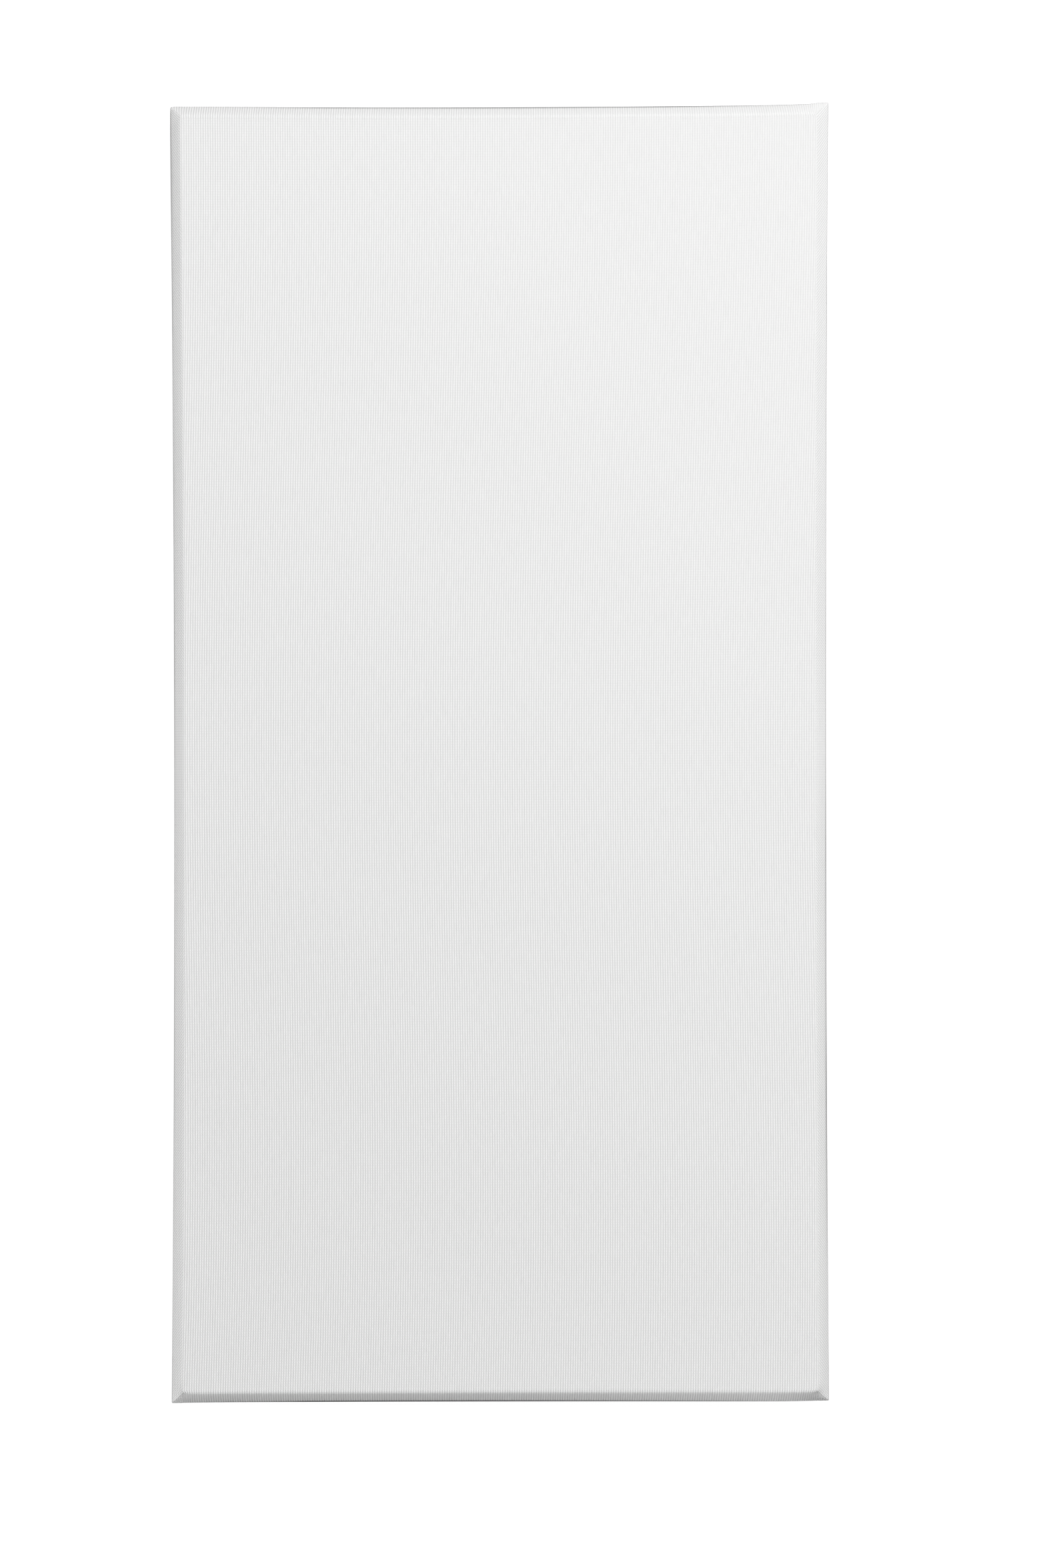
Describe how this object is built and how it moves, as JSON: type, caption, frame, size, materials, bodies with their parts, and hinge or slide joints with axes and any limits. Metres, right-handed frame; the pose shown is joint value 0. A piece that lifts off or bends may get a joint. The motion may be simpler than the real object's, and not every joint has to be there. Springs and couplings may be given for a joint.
{
  "type": "acoustic absorber panel",
  "caption": "Flat rectangular sound absorber: rigid glass-wool board with a bevelled front edge, wrapped in ribbed white cloth hemmed on the back.",
  "frame": {"origin": "middle of the back, at the level of the hem that the panel lies on", "axes": "+Z out of the panel's face, +Y along its length towards the end that is up in the picture, +X across its width"},
  "size_m": [0.614, 1.212, 0.051],
  "materials": {
    "glass_wool": "rough fibrous board, matt",
    "ribbed_cloth": "white ribbed cloth, matt"
  },
  "bodies": {
    "root": {"core_board": "glass_wool", "fabric_cover": "ribbed_cloth"}
  },
  "joints": []
}
